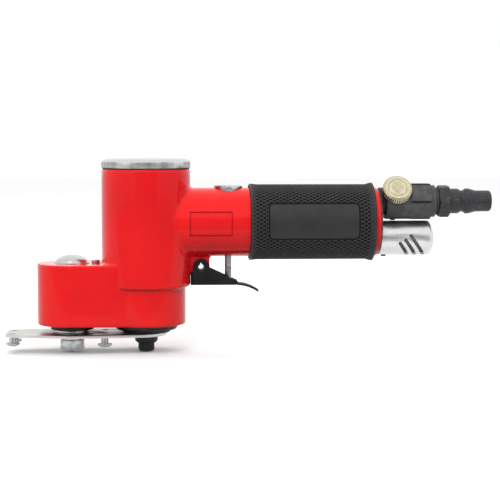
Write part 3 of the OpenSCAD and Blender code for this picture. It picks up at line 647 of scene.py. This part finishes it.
class Bench:
    """The modelling steps, each done with Blender's own operators."""

    @staticmethod
    def clear() -> None:
        """Leave edit mode and select nothing."""
        if bpy.context.object is not None and bpy.context.object.mode != "OBJECT":
            bpy.ops.object.mode_set(mode="OBJECT")
        bpy.ops.object.select_all(action="DESELECT")

    @staticmethod
    def pick(piece: bpy.types.Object) -> None:
        """Select one piece alone and make it active."""
        Bench.clear()
        piece.select_set(True)
        bpy.context.view_layer.objects.active = piece

    @staticmethod
    def settle(piece: bpy.types.Object, place: Matrix) -> bpy.types.Object:
        """Move a piece to its place and bring its object back to the origin."""
        Bench.pick(piece)
        piece.matrix_world = place @ piece.matrix_world
        bpy.ops.object.transform_apply(location=True, rotation=True, scale=True)
        return piece

    @staticmethod
    def lathe(name: str, profile: Sequence[Point], place: Matrix,
              steps: int = 128) -> bpy.types.Object:
        """Turn a profile round an axis.

        Args:
            name: the piece's name.
            profile: radius and height of each corner, in mm.
            place: where the axis stands.
            steps: how many facets a turn has.

        Returns:
            The closed piece.
        """
        Bench.clear()
        bpy.ops.mesh.primitive_plane_add(size=MM)
        piece = bpy.context.object
        piece.name = name
        bpy.ops.object.mode_set(mode="EDIT")
        bpy.ops.mesh.select_mode(type="VERT")
        bpy.ops.mesh.select_all(action="SELECT")
        bpy.ops.mesh.merge(type="CENTER")
        radius, height = profile[0]
        bpy.ops.transform.translate(value=(radius * MM, 0, height * MM))
        for (r0, h0), (r1, h1) in zip(profile, profile[1:]):
            bpy.ops.mesh.extrude_vertices_move(
                TRANSFORM_OT_translate={"value": ((r1 - r0) * MM, 0, (h1 - h0) * MM)})
        bpy.ops.mesh.select_all(action="SELECT")
        bpy.ops.mesh.spin(steps=steps, angle=2 * math.pi, center=(0, 0, 0), axis=(0, 0, 1))
        Bench.close_up()
        bpy.ops.object.mode_set(mode="OBJECT")
        return Bench.settle(piece, place)

    @staticmethod
    def close_up() -> None:
        """In edit mode, merge doubled points and turn every face outwards."""
        bpy.ops.mesh.select_all(action="SELECT")
        bpy.ops.mesh.remove_doubles(threshold=1e-6)
        bpy.ops.mesh.normals_make_consistent(inside=False)

    @staticmethod
    def rod(radius: float, low: float, high: float, place: Matrix,
            sides: int = 96) -> bpy.types.Object:
        """A plain round tool or blank from low to high along its place's axis."""
        Bench.clear()
        bpy.ops.mesh.primitive_cylinder_add(
            vertices=sides, radius=radius * MM, depth=(high - low) * MM,
            location=(0, 0, (low + high) / 2 * MM))
        return Bench.settle(bpy.context.object, place)

    @staticmethod
    def block(size: tuple[float, float, float], place: Matrix) -> bpy.types.Object:
        """A plain block about its place."""
        Bench.clear()
        bpy.ops.mesh.primitive_cube_add(size=1)
        piece = bpy.context.object
        piece.scale = Vector(size) * MM
        return Bench.settle(piece, place)

    @staticmethod
    def modify(piece: bpy.types.Object, kind: str, **settings: object) -> None:
        """Add one modifier, set it and apply it."""
        Bench.pick(piece)
        step = piece.modifiers.new("Step", kind)
        for key, value in settings.items():
            setattr(step, key, value)
        bpy.ops.object.modifier_apply(modifier=step.name)

    @staticmethod
    def combine(piece: bpy.types.Object, operation: str,
                tools: Iterable[bpy.types.Object]) -> bpy.types.Object:
        """Join, cut or keep the common part of a piece and each tool in turn.

        Args:
            piece: what is worked on.
            operation: UNION, DIFFERENCE or INTERSECT.
            tools: the shapes used, which are thrown away afterwards.

        Returns:
            The piece.
        """
        for tool in tools:
            Bench.modify(piece, "BOOLEAN", operation=operation, solver="EXACT", object=tool)
            bpy.data.objects.remove(tool)
        return piece

    @staticmethod
    def soften(piece: bpy.types.Object, width: float, segments: int = 2,
               angle: float = 28.0) -> None:
        """Round every edge that is sharper than an angle in degrees."""
        Bench.modify(piece, "BEVEL", width=width * MM, segments=segments,
                     limit_method="ANGLE", angle_limit=math.radians(angle))

    @staticmethod
    def choose(test: Callable[[Vector, Vector], bool]) -> None:
        """In edit mode, select the edges whose two ends pass a test.

        Args:
            test: takes the two ends, in mm from the motor's axis.
        """
        mesh = bmesh.from_edit_mesh(bpy.context.object.data)
        shift = Vector((MOTOR_X, 0, 0))
        for vert in mesh.verts:
            vert.select = False
        for edge in mesh.edges:
            edge.select = test(edge.verts[0].co / MM - shift, edge.verts[1].co / MM - shift)
        mesh.select_flush(True)
        bmesh.update_edit_mesh(bpy.context.object.data)

    @staticmethod
    def copy_of(node: bpy.types.Object) -> bpy.types.Object:
        """A merged copy of a node of the frame, with its flat faces whole."""
        Bench.clear()
        piece = bpy.data.objects.new(node.name + "_fine", node.data.copy())
        bpy.context.scene.collection.objects.link(piece)
        Bench.pick(piece)
        bpy.ops.object.mode_set(mode="EDIT")
        bpy.ops.mesh.select_all(action="SELECT")
        bpy.ops.mesh.remove_doubles(threshold=2e-6)
        bpy.ops.mesh.dissolve_limited(angle_limit=math.radians(0.25))
        bpy.ops.object.mode_set(mode="OBJECT")
        return piece

    @staticmethod
    def shade(piece: bpy.types.Object, angle: float = 32.0) -> None:
        """Shade round surfaces smooth and keep edges above an angle crisp."""
        Bench.pick(piece)
        bpy.ops.object.shade_smooth_by_angle(angle=math.radians(angle))


@dataclass
class Shop:
    """What every sub-assembly needs: the frame's nodes, bodies, slots and finishes."""

    nodes: dict[str, bpy.types.Object]
    bodies: dict[str, str]
    slots: dict[str, str]
    paint: Paintshop

    def deliver(self, piece: bpy.types.Object, name: str, *nodes: str,
                finish: str | None = None, angle: float = 32.0) -> bpy.types.Object:
        """Finish a piece that stands for one or more nodes of the frame.

        Args:
            piece: the modelled piece.
            name: its name.
            nodes: the nodes that it stands for; they share one body and one slot.
            finish: a finish of its own, or None for its slot's finish.
            angle: edges sharper than this stay crisp.

        Returns:
            The piece.
        """
        piece.name = name
        piece.data.name = name
        slot = self.slots[nodes[0]]
        self.paint.dress(piece, finish or slot)
        Bench.shade(piece, angle)
        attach(piece, self.bodies[nodes[0]])
        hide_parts(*nodes)
        LOG.info("%s: %d faces on %s", name, len(piece.data.polygons), self.bodies[nodes[0]])
        return piece

    def refine(self, node: str, width: float, finish: str | None = None,
               segments: int = 2) -> bpy.types.Object:
        """Break the sharp edges of a node's copy, and let it stand for the node."""
        piece = Bench.copy_of(self.nodes[node])
        Bench.soften(piece, width, segments)
        return self.deliver(piece, node + "_piece", node, finish=finish)


# ---------- sub-assemblies ----------


@dataclass
class Casting:
    """The red casting: barrel, boss, front head, handle tube and lever lug."""

    barrel_r: float = 25.1
    barrel_top: float = 103.8
    boss_r: float = 22.5
    head_x: float = -42.0
    head_r: float = 19.5
    head_top: float = 50.5
    body_z: float = 15.9
    ledge_z: float = 37.3
    handle_r: float = 19.5
    handle_z: float = 73.5
    handle_end: float = 131.6
    pivot: Point = (31.1, 48.1)
    voxel: float = 0.7
    rounds: int = 4

    def body(self) -> list[bpy.types.Object]:
        """The head with its straight flanks, and the wider round boss."""
        Bench.clear()
        flank = Bench.rod(self.head_r, self.body_z, self.head_top, spot(0, 0, 0), 160)
        front = Bench.rod(self.head_r, self.body_z, self.head_top, spot(self.head_x, 0, 0), 160)
        Bench.pick(flank)
        front.select_set(True)
        bpy.ops.object.join()
        bpy.ops.object.mode_set(mode="EDIT")
        bpy.ops.mesh.select_all(action="SELECT")
        bpy.ops.mesh.convex_hull()
        bpy.ops.object.mode_set(mode="OBJECT")
        Bench.soften(flank, 0.8, 3)
        boss = Bench.rod(self.boss_r, self.body_z, self.head_top, spot(0, 0, 0), 160)
        Bench.soften(boss, 0.8, 3)
        return [flank, boss]

    def blank(self) -> bpy.types.Object:
        """The casting's outside, with every joint blended."""
        barrel = Bench.lathe("casting", [
            (0, self.ledge_z), (self.barrel_r, self.ledge_z),
            (self.barrel_r, self.barrel_top), (0, self.barrel_top)], spot(0, 0, 0), 192)
        Bench.soften(barrel, 0.7, 3)
        handle = Bench.lathe("handle", [
            (0, 0), (self.handle_r, 0), (self.handle_r, self.handle_end),
            (0, self.handle_end)], spot(0, 0, self.handle_z, LYING), 160)
        Bench.soften(handle, 0.8, 3)
        x, z = self.pivot
        lug = Bench.rod(4.8, -4, 4, spot(x, 0, z, ACROSS), 64)
        lug_root = Bench.block((9.6, 8, 10), spot(x, 0, z + 5.0))
        lug_neck = Bench.block((8, 8, 9), spot(x - 4, 0, z + 1.6))
        Bench.combine(barrel, "UNION", [*self.body(), handle, lug, lug_root, lug_neck])
        Bench.modify(barrel, "REMESH", mode="VOXEL", voxel_size=self.voxel * MM)
        Bench.modify(barrel, "SMOOTH", factor=0.5, iterations=self.rounds)
        return barrel

    def hollows(self) -> list[bpy.types.Object]:
        """Every bore and way inside the casting, as tools."""
        here = spot(0, 0, 0)
        head = spot(self.head_x, 0, 0)
        valve = spot(46.6, 0, 0)
        inlet = spot(0, 0, 85.1, LYING)
        muffler = spot(0, 0, 64.2, LYING)
        x, z = self.pivot
        sizes = [
            (here, 20.5, 42, 105), (here, 21.52, 99, 105), (here, 12.5, 37, 43),
            (here, 19.5, 15, 38),
            (head, 11.02, 15, 47), (head, 8.45, 40, 52), (head, 11.65, 25.65, 26.95),
            (valve, 7.05, 76, 92), (valve, 8.05, 90.5, 96), (valve, 2.0, 53, 90),
            (inlet, 4.5, 47, 132), (inlet, 6.62, 117.6, 133),
            (muffler, 8.2, 106, 133), (spot(x, 0, z, ACROSS), 2.52, -12, 12),
            (spot(-28.5, 0, 0), 1.5, 44.5, 52),
        ]
        return [Bench.rod(r, low, high, at, 72) for at, r, low, high in sizes]

    def panel(self, side: int) -> bpy.types.Object:
        """The tool that sinks one shallow rounded panel into the handle's side."""
        tool = Bench.block((23.6, 14, 13.5),
                           spot(24.5 + 11.8, side * self.handle_r, self.handle_z))
        bpy.ops.object.mode_set(mode="EDIT")
        Bench.choose(lambda a, b: abs(a.y - b.y) > 10)
        bpy.ops.mesh.bevel(offset=0.9 * MM, segments=4)
        bpy.ops.object.mode_set(mode="OBJECT")
        core = Bench.rod(self.handle_r - 0.8, 0, 70, spot(0, 0, self.handle_z, LYING), 256)
        return Bench.combine(tool, "DIFFERENCE", [core])

    def build(self, shop: Shop) -> None:
        """Cast, bore and paint the housing."""
        casting = self.blank()
        tools = self.hollows()
        cutter = Bench.combine(tools[0], "UNION", tools[1:])
        Bench.combine(casting, "DIFFERENCE", [cutter, self.panel(-1), self.panel(1)])
        shop.deliver(casting, "painted_casting", "housing", angle=35)


@dataclass
class BarrelTop:
    """The turned cap on the barrel, and the gasket below it."""

    radius: float = 25.2
    top: float = 109.3
    underside: float = 104.5
    spanner: float = 15.0

    def build(self, shop: Shop) -> None:
        """Turn the cap, drill its spanner holes and add the gasket."""
        cap = Bench.lathe("cap", [
            (0, 101.5), (6, 101.5), (6, 99), (21.5, 99), (21.5, self.underside),
            (self.radius, self.underside), (self.radius, self.top - 1.3),
            (self.radius - 2.9, self.top), (11.2, self.top), (10.9, self.top - 0.25),
            (10.2, self.top - 0.25), (9.9, self.top), (0, self.top),
        ], spot(0, 0, 0), 192)
        holes = [Bench.rod(2, self.top - 3, self.top + 1, spot(side * self.spanner, 0, 0), 48)
                 for side in (-1, 1)]
        Bench.combine(cap, "DIFFERENCE", holes)
        Bench.soften(cap, 0.22, 2, 15)
        shop.deliver(cap, "motor_cap_piece", "motor_cap", angle=25)
        shop.refine("cap_gasket", 0.15)


@dataclass
class FrontHead:
    """Everything that shows on the front head, above and below."""

    axis_x: float = -42.0
    seat: float = 50.5
    dome_r: float = 9.85
    dome_top: float = 55.1

    def dome(self) -> bpy.types.Object:
        """A pressed dome with a narrow flat rim."""
        rise = self.dome_top - self.seat - 0.5
        crown = [(self.dome_r * 0.93 * math.sin(math.radians(a)),
                  self.seat + 0.5 + rise * math.cos(math.radians(a))) for a in range(0, 91, 9)]
        profile = crown + [(self.dome_r, self.seat + 0.5), (self.dome_r, self.seat - 0.2),
                           (8.4, self.seat - 0.2), (8.4, 46.0), (0, 46.0)]
        return Bench.lathe("dome", profile, spot(self.axis_x, 0, 0), 128)

    def build(self, shop: Shop) -> None:
        """Make the dome, and break the edges of the small parts."""
        dome = self.dome()
        Bench.soften(dome, 0.2, 2, 30)
        shop.deliver(dome, "head_dome_piece", "head_dome_cap")
        shop.refine("head_lock_screw", 0.12, finish="zinc_steel")
        shop.refine("head_dust_seal", 0.35)
        shop.refine("front_bolt", 0.25)
        shop.refine("bolt_spring_washer", 0.1)
        shop.refine("front_hub", 0.25)


@dataclass
class Carrier:
    """The orbiting plate, its screws, its big hub and the drive nut."""

    def build(self, shop: Shop) -> None:
        """Break the edges of the plate and what hangs on it."""
        shop.refine("pad_plate", 0.22)
        shop.refine("pad_screws", 0.14, finish="zinc_steel")
        shop.refine("main_hub", 0.3)
        shop.refine("drive_nut", 0.3)


@dataclass
class Grip:
    """The rubber sleeve: raised diamonds all round and one smooth panel in front."""

    start: float = 58.3
    length: float = 70.5
    inner_r: float = 19.53
    outer_r: float = 21.35
    flare: Point = (0.36, 0.85)
    handle_z: float = 73.5
    cell_x: float = 3.78
    cells_around: int = 59
    samples: int = 8
    depth: float = 0.6
    panel_x: Point = (68.5, 119.2)
    panel_arc: float = 10.6
    panel_rise: float = 1.4
    panel_corner: float = 2.8

    def end_lift(self, x: float) -> float:
        """How far the sleeve flares out near its two ends."""
        near = min(x, self.length - x)
        flare = self.flare[0] if x < self.length / 2 else self.flare[1]
        return flare * max(0.0, 1 - max(0.0, near - 1.2) / 3.0)

    def panel_depth(self, x: float, arc: float) -> float:
        """How far a point lies inside the smooth panel, in mm; below 0 it is outside."""
        middle = sum(self.panel_x) / 2 - self.start
        half = (self.panel_x[1] - self.panel_x[0]) / 2
        dx = abs(x - middle) - (half - self.panel_corner)
        dy = abs(arc - self.panel_rise) - (self.panel_arc - self.panel_corner)
        outside = math.hypot(max(dx, 0.0), max(dy, 0.0)) + min(max(dx, dy), 0.0)
        return self.panel_corner - outside

    def relief(self, x: float, turn: float) -> float:
        """Height of the pattern above the pits' floor.

        Args:
            x: distance from the sleeve's start, in mm.
            turn: share of a turn, 0.5 in the middle of the front.

        Returns:
            The height in mm.
        """
        arc = (turn - 0.5) * 2 * math.pi * self.outer_r
        near = min(x, self.length - x)
        inside = self.panel_depth(x, arc)
        u, v = x / self.cell_x, turn * self.cells_around
        pit = abs(math.cos(math.pi * (u + v)) * math.cos(math.pi * (u - v)))
        pit = min(1.0, max(0.0, pit * 1.7 - 0.22))
        pit *= min(1.0, max(0.0, (near - 1.0) / 0.8))
        if inside > -0.5:
            groove = max(0.0, 1 - abs(inside - 0.1) / 0.62)
            return self.depth * (1 - min(1.0, groove * 1.5))
        return self.depth * (1 - pit)

    def build(self, shop: Shop) -> None:
        """Wrap a fine grid round the handle, raise its pattern and close it."""
        columns = self.cells_around * self.samples
        rows = round(self.length / self.cell_x * self.samples)
        Bench.clear()
        bpy.ops.mesh.primitive_grid_add(x_subdivisions=rows + 4, y_subdivisions=columns, size=1)
        sleeve = bpy.context.object
        place = spot(self.start, 0, self.handle_z)
        base = self.outer_r - self.depth
        for vert in sleeve.data.vertices:
            row = round((vert.co.x + 0.5) * (rows + 4)) - 1
            turn = vert.co.y + 0.5
            if row < 0 or row > rows + 1:
                x = 0.0 if row < 0 else self.length
                radius = self.inner_r
            elif row == 0 or row == rows + 1:
                x = 0.0 if row == 0 else self.length
                radius = base + self.flare[0 if row == 0 else 1] - 0.1
            else:
                x = 0.35 + (row - 1) * (self.length - 0.7) / (rows - 1)
                radius = base + self.end_lift(x) + self.relief(x, turn % 1.0)
            angle = 2 * math.pi * turn
            vert.co = place @ (Vector((x, radius * math.cos(angle),
                                       -radius * math.sin(angle))) * MM)
        Bench.pick(sleeve)
        bpy.ops.object.mode_set(mode="EDIT")
        bpy.ops.mesh.select_all(action="SELECT")
        bpy.ops.mesh.remove_doubles(threshold=1e-6)
        bpy.ops.mesh.select_all(action="DESELECT")
        bpy.ops.mesh.select_mode(type="EDGE")
        bpy.ops.mesh.select_non_manifold()
        bpy.ops.mesh.bridge_edge_loops()
        Bench.close_up()
        bpy.ops.mesh.select_mode(type="VERT")
        bpy.ops.object.mode_set(mode="OBJECT")
        shop.deliver(sleeve, "grip_sleeve_piece", "grip_sleeve", angle=60)


@dataclass
class Throttle:
    """The lever, its pin, the valve's cap and its stem."""

    half_width: float = 5.3
    web_z: float = 37.9

    def lever(self, shop: Shop) -> None:
        """Round the two folds of the bent sheet, then break its other edges."""
        lever = Bench.copy_of(shop.nodes["throttle_lever"])
        bpy.ops.object.mode_set(mode="EDIT")
        Bench.choose(lambda a, b: abs(a.x - b.x) > 3 and max(a.z, b.z) < self.web_z + 0.2
                     and min(abs(a.y), abs(b.y)) > self.half_width - 0.1)
        bpy.ops.mesh.bevel(offset=0.9 * MM, segments=4)
        bpy.ops.object.mode_set(mode="OBJECT")
        Bench.soften(lever, 0.12, 2)
        shop.deliver(lever, "throttle_lever_piece", "throttle_lever")

    def build(self, shop: Shop) -> None:
        """Dress the lever and the parts round it."""
        self.lever(shop)
        shop.refine("lever_pin", 0.12)
        shop.refine("valve_cap", 0.3)
        shop.refine("valve_stem", 0.15, finish="stem_steel")


@dataclass
class Knob:
    """The knurled brass knob of the flow regulator."""

    radius: float = 8.2
    low: float = 9.5
    high: float = 14.4
    teeth: int = 42

    def build(self, shop: Shop) -> None:
        """Turn the knob with rings on its face, then press the knurl into its rim."""
        turn = Matrix.Rotation(math.radians(90 - KNOB_TILT), 4, "X")
        place = spot(KNOB_X, 0, 85.1, turn)
        r, top = self.radius, self.high
        face = [(0, top - 0.05)]
        for ring in (1.6, 2.9, 4.2, 5.5):
            face += [(ring - 0.45, top - 0.02), (ring - 0.2, top - 0.14),
                     (ring + 0.2, top - 0.14), (ring + 0.45, top - 0.02)]
        profile = face + [(r - 0.9, top), (r - 0.25, top - 0.45), (r, top - 0.8),
                          (r, self.low + 0.7), (r - 0.6, self.low), (2.5, self.low),
                          (2.5, top - 1.7), (0, top - 1.7)]
        knob = Bench.lathe("knob", profile, Matrix.Identity(4), self.teeth * 4)
        bpy.ops.object.mode_set(mode="EDIT")
        bpy.ops.mesh.select_mode(type="VERT")
        mesh = bmesh.from_edit_mesh(knob.data)
        for vert in mesh.verts:
            angle = math.atan2(vert.co.y, vert.co.x) / (2 * math.pi) * self.teeth
            rim = math.hypot(vert.co.x, vert.co.y) > (r - 0.1) * MM
            vert.select = rim and abs(angle - round(angle)) < 0.13
        mesh.select_flush(True)
        bmesh.update_edit_mesh(knob.data)
        bpy.ops.transform.resize(value=(0.945, 0.945, 1.0))
        bpy.ops.object.mode_set(mode="OBJECT")
        Bench.settle(knob, place)
        shop.deliver(knob, "regulator_knob_piece", "regulator_knob", angle=24)


@dataclass
class AirInlet:
    """The hex regulator body, its collar washer and the quick-connect plug."""

    axis_z: float = 85.1
    start: float = 166.3
    hex_af: float = 17.0
    reach: float = 197.0

    def plug(self) -> bpy.types.Object:
        """Turn the plug's tail and nose and put its hex collar on."""
        x = self.start
        place = spot(0, 0, self.axis_z, LYING)
        nose = Bench.lathe("plug", [
            (3.6, x - 6), (4.48, x - 6), (4.48, x), (6.6, x), (6.6, x + 6.2), (7.1, x + 6.6),
            (7.1, x + 11.6), (6.75, x + 12.3), (6.15, x + 13.0), (6.05, x + 13.6),
            (6.05, x + 14.4), (6.3, x + 15.0), (7.0, x + 15.7), (7.2, x + 16.2),
            (7.2, x + 17.4), (7.0, x + 18.4), (6.5, x + 20.2), (6.15, x + 21.4),
            (6.0, x + 22.4), (6.0, self.reach - 1.5), (5.8, self.reach - 0.7),
            (5.2, self.reach - 0.15), (4.7, self.reach), (4.1, self.reach),
            (3.6, self.reach - 0.5), (3.6, x - 6),
        ], place, 128)
        collar = Bench.lathe("collar", [
            (3.8, x + 0.02), (self.hex_af / 2 - 0.2, x + 0.02), (self.hex_af / 2 + 1.2, x + 1.1),
            (self.hex_af / 2 + 1.2, x + 5.6), (self.hex_af / 2 - 0.2, x + 6.7), (3.8, x + 6.7),
            (3.8, x + 0.02),
        ], place, 128)
        hexagon = Bench.rod(self.hex_af / math.sqrt(3), x - 1, x + 8,
                            place @ Matrix.Rotation(math.radians(6), 4, "Z"), 6)
        Bench.combine(collar, "INTERSECT", [hexagon])
        return Bench.combine(nose, "UNION", [collar])

    def build(self, shop: Shop) -> None:
        """Make the plug and break the edges of the regulator's parts."""
        plug = self.plug()
        Bench.soften(plug, 0.18, 2, 30)
        shop.deliver(plug, "air_plug_piece", "air_plug", finish="plug_oxide")
        shop.refine("regulator_body", 0.3, finish="regulator_oxide")
        shop.refine("plug_seal_washer", 0.3)
        shop.refine("regulator_stop_screw", 0.12)
        shop.refine("inlet_bushing", 0.2)
        shop.refine("rear_plate", 0.15)


@dataclass
class Exhaust:
    """The slotted muffler tube and its set screw."""

    def build(self, shop: Shop) -> None:
        """Break the edges of the tube, of its slots and of its screw."""
        shop.refine("muffler_tube", 0.35, finish="muffler_aluminium", segments=3)
        shop.refine("muffler_set_screw", 0.12)


# ---------- studio ----------


@dataclass
class Studio:
    """Camera, soft lights, dark cards for the metal to mirror, and a pale floor."""

    eye: tuple[float, float, float] = (-0.0559, -0.822, 0.1249)
    yaw: float = 2.71
    pitch: float = -3.5
    lens: float = 104.4
    shift: Point = (0.06, -0.06)

    def camera(self) -> None:
        """Stand the camera in front of the tool, a little above it."""
        yaw, pitch = math.radians(self.yaw), math.radians(self.pitch)
        sight = Vector((math.sin(yaw) * math.cos(pitch), math.cos(yaw) * math.cos(pitch),
                        math.sin(pitch)))
        data = bpy.data.cameras.new("camera")
        data.lens = self.lens
        data.sensor_width = 36.0
        data.shift_x, data.shift_y = self.shift
        data.clip_start = 0.02
        holder = bpy.data.objects.new("camera", data)
        bpy.context.scene.collection.objects.link(holder)
        holder.location = self.eye
        holder.rotation_euler = sight.to_track_quat("-Z", "Y").to_euler()
        bpy.context.scene.camera = holder

    @staticmethod
    def lamp(name: str, place: Sequence[float], size: Point, power: float,
             mirrored: bool) -> None:
        """Hang one soft rectangular light that faces the tool.

        Args:
            name: the light's name.
            place: where it hangs, in metres.
            size: width and height, in metres.
            power: in watts.
            mirrored: whether glossy surfaces show it.
        """
        data = bpy.data.lights.new(name, "AREA")
        data.shape = "RECTANGLE"
        data.size, data.size_y = size
        data.energy = power
        holder = bpy.data.objects.new(name, data)
        bpy.context.scene.collection.objects.link(holder)
        holder.location = place
        aim = Vector((0, 0, 0.06)) - Vector(place)
        holder.rotation_euler = aim.to_track_quat("-Z", "Y").to_euler()
        holder.visible_glossy = mirrored

    @staticmethod
    def sheet(name: str, size: Point, place: Matrix, tone: float,
              seen_by: str) -> bpy.types.Object:
        """Put up one flat stage piece.

        Args:
            name: its name.
            size: width and depth, in metres.
            place: where it is and how it is turned.
            tone: how pale it is, 0 to 1.
            seen_by: camera, glossy or diffuse, the only rays that meet it.

        Returns:
            The sheet.
        """
        Bench.clear()
        bpy.ops.mesh.primitive_plane_add(size=1)
        piece = bpy.context.object
        piece.name = name
        piece.scale = (size[0], size[1], 1)
        bpy.ops.object.transform_apply(location=True, rotation=True, scale=True)
        Bench.settle(piece, place)
        mix = Recipe(name)
        cloud = mix.tint(grey(tone), grey(tone * 0.97), mix.noise(60.0))
        piece.data.materials.append(mix.finish(Base_Color=cloud, Roughness=0.9,
                                               Specular_IOR_Level=0.0))
        piece.visible_camera = seen_by == "camera"
        piece.visible_glossy = seen_by == "glossy"
        piece.visible_diffuse = seen_by == "diffuse"
        piece.visible_shadow = False
        return piece

    def build(self) -> None:
        """Set up everything that isn't the tool."""
        self.camera()
        world = bpy.data.worlds.new("white_room")
        world.use_nodes = True
        world.node_tree.nodes["Background"].inputs["Color"].default_value = (1, 1, 1, 1)
        world.node_tree.nodes["Background"].inputs["Strength"].default_value = 1.0
        bpy.context.scene.world = world
        bpy.context.scene.view_settings.view_transform = "Standard"
        flat = Matrix.Translation
        self.sheet("floor", (6.0, 6.0), flat((0, 0, -0.0004)), 0.97, "camera")
        self.sheet("floor_gleam", (6.0, 6.0), flat((0, 0, -0.002)), 0.7, "glossy")
        self.sheet("floor_shade", (6.0, 6.0), flat((0, 0, -0.004)), 0.3, "diffuse")
        self.sheet("front_strip", (3.0, 1.3), flat((0, -0.85, -0.001)), 0.27, "glossy")
        self.sheet("front_card", (1.6, 0.6), flat((0.0, -1.5, 0.22)) @ ACROSS, 0.2, "glossy")
        self.lamp("front_box", (-0.35, -1.2, 0.95), (0.9, 0.9), 12.0, False)
        self.lamp("top_box", (0.1, 0.25, 1.0), (0.9, 0.5), 3.0, False)
        self.lamp("glint_box", (-0.35, -0.9, 0.9), (0.1, 0.1), 0.9, True)


def main() -> None:
    """Load the frame, build each sub-assembly, dress it and set the studio."""
    logging.basicConfig(level=logging.INFO, format="%(message)s")
    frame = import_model()
    record = frame["record"]
    bodies = {node: body for body, names in record["behaviour"]["bodies"].items()
              for node in names}
    slots = {part["node"]: part["material_slot"] for part in record["subparts"]}
    shop = Shop(frame["nodes"], bodies, slots, Paintshop())
    shop.paint.dress_frame(frame["nodes"], slots)
    for assembly in (Casting(), BarrelTop(), FrontHead(), Carrier(), Grip(), Throttle(),
                     Knob(), AirInlet(), Exhaust()):
        assembly.build(shop)
        LOG.info("%s built", type(assembly).__name__)
    Studio().build()
    Bench.clear()


if __name__ == "__main__":
    main()
